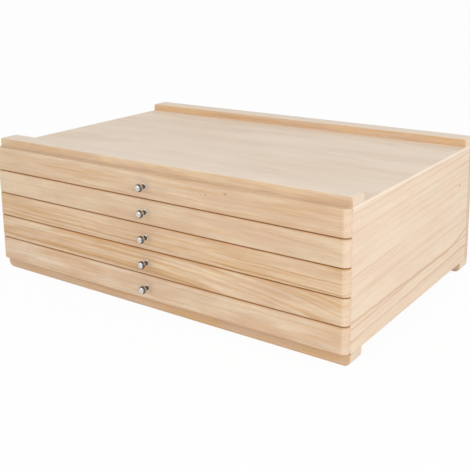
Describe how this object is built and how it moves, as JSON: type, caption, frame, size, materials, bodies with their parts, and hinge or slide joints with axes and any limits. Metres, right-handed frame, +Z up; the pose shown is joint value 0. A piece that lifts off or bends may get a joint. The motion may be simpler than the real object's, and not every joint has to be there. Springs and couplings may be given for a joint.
{
  "type": "pastel drawer box",
  "caption": "Low wide wooden box with a stack of shallow sliding drawers, small round metal knobs, rails across the top and standing strips underneath.",
  "frame": {"origin": "on the ground under the middle of the whole box, knobs included", "axes": "+X to the right seen from the drawer fronts, +Y to the back, +Z up"},
  "size_m": [0.44, 0.3028, 0.1517],
  "materials": {
    "case_pine": "bare sanded pine",
    "front_pine": "bare sanded pine with streaks",
    "drawer_pine": "bare sanded pine",
    "plywood": "bare sanded plywood",
    "bright_chrome": "polished",
    "zinc_steel": "zinc plated"
  },
  "bodies": {
    "case": {"lid_panel": "plywood", "floor_panel": "plywood", "back_board": "case_pine", "side_board_left": "case_pine", "side_board_right": "case_pine", "top_rail_front": "case_pine", "top_rail_back": "case_pine", "base_strip_front": "case_pine", "base_strip_back": "case_pine", "runner_1_left": "case_pine", "runner_1_right": "case_pine", "runner_2_left": "case_pine", "runner_2_right": "case_pine", "runner_3_left": "case_pine", "runner_3_right": "case_pine", "runner_4_left": "case_pine", "runner_4_right": "case_pine", "runner_5_left": "case_pine", "runner_5_right": "case_pine"},
    "drawer_1": {"drawer_1_side_left": "drawer_pine", "drawer_1_side_right": "drawer_pine", "drawer_1_front": "front_pine", "drawer_1_back": "drawer_pine", "drawer_1_bottom": "plywood", "drawer_1_divider": "drawer_pine", "drawer_1_knob": "bright_chrome", "drawer_1_knob_screw": "zinc_steel"},
    "drawer_2": {"drawer_2_side_left": "drawer_pine", "drawer_2_side_right": "drawer_pine", "drawer_2_front": "front_pine", "drawer_2_back": "drawer_pine", "drawer_2_bottom": "plywood", "drawer_2_divider": "drawer_pine", "drawer_2_knob": "bright_chrome", "drawer_2_knob_screw": "zinc_steel"},
    "drawer_3": {"drawer_3_side_left": "drawer_pine", "drawer_3_side_right": "drawer_pine", "drawer_3_front": "front_pine", "drawer_3_back": "drawer_pine", "drawer_3_bottom": "plywood", "drawer_3_divider": "drawer_pine", "drawer_3_knob": "bright_chrome", "drawer_3_knob_screw": "zinc_steel"},
    "drawer_4": {"drawer_4_side_left": "drawer_pine", "drawer_4_side_right": "drawer_pine", "drawer_4_front": "front_pine", "drawer_4_back": "drawer_pine", "drawer_4_bottom": "plywood", "drawer_4_divider": "drawer_pine", "drawer_4_knob": "bright_chrome", "drawer_4_knob_screw": "zinc_steel"},
    "drawer_5": {"drawer_5_side_left": "drawer_pine", "drawer_5_side_right": "drawer_pine", "drawer_5_front": "front_pine", "drawer_5_back": "drawer_pine", "drawer_5_bottom": "plywood", "drawer_5_divider": "drawer_pine", "drawer_5_knob": "bright_chrome", "drawer_5_knob_screw": "zinc_steel"}
  },
  "joints": [
    {"name": "drawer_1_slide", "type": "slide", "parent": "case", "child": "drawer_1", "axis": [0, -1, 0], "range_m": [0, 0.23]},
    {"name": "drawer_2_slide", "type": "slide", "parent": "case", "child": "drawer_2", "axis": [0, -1, 0], "range_m": [0, 0.23]},
    {"name": "drawer_3_slide", "type": "slide", "parent": "case", "child": "drawer_3", "axis": [0, -1, 0], "range_m": [0, 0.23]},
    {"name": "drawer_4_slide", "type": "slide", "parent": "case", "child": "drawer_4", "axis": [0, -1, 0], "range_m": [0, 0.23]},
    {"name": "drawer_5_slide", "type": "slide", "parent": "case", "child": "drawer_5", "axis": [0, -1, 0], "range_m": [0, 0.23]}
  ]
}
